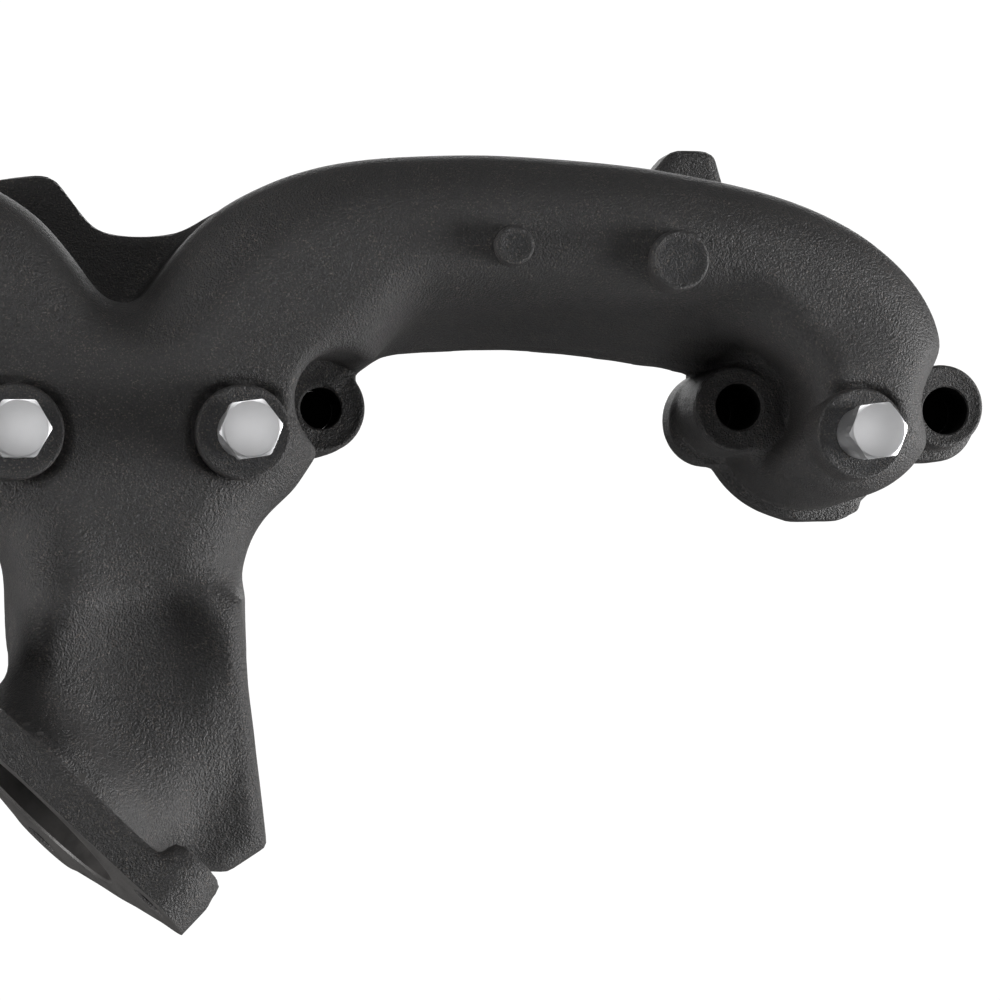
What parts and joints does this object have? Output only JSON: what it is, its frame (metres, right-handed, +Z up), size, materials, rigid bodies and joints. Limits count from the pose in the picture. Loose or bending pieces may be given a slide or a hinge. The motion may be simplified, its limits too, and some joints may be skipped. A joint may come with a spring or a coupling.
{
  "type": "exhaust manifold",
  "caption": "Cast exhaust manifold: two arms sweep from end ports into a centre collector with an angled flanged outlet; hexagon pipe plugs close its front bosses.",
  "frame": {"origin": "on the gasket face, on the line of the head bolt holes, midway between the two inner ports", "axes": "+Y points out of the gasket face into the cylinder head; +X runs along the head towards the heel side of the collector; +Z is up towards the arms' crest"},
  "size_m": [0.4946, 0.0993, 0.205],
  "materials": {
    "cast_iron": "sand-cast surface under a dark matt high-temperature coating",
    "plug_steel": "zinc plated, turned face"
  },
  "bodies": {
    "casting": {"manifold_casting": "cast_iron"},
    "plug_left_outer": {"port_plug_left_outer": "plug_steel"},
    "plug_left_inner": {"port_plug_left_inner": "plug_steel"},
    "plug_right_inner": {"port_plug_right_inner": "plug_steel"},
    "plug_right_outer": {"port_plug_right_outer": "plug_steel"}
  },
  "joints": [
    {"name": "unscrew_left_outer", "type": "slide", "parent": "casting", "child": "plug_left_outer", "axis": [0, -1, 0], "range_m": [0, 0.03]},
    {"name": "unscrew_left_inner", "type": "slide", "parent": "casting", "child": "plug_left_inner", "axis": [0, -1, 0], "range_m": [0, 0.03]},
    {"name": "unscrew_right_inner", "type": "slide", "parent": "casting", "child": "plug_right_inner", "axis": [0, -1, 0], "range_m": [0, 0.03]},
    {"name": "unscrew_right_outer", "type": "slide", "parent": "casting", "child": "plug_right_outer", "axis": [0, -1, 0], "range_m": [0, 0.03]}
  ]
}
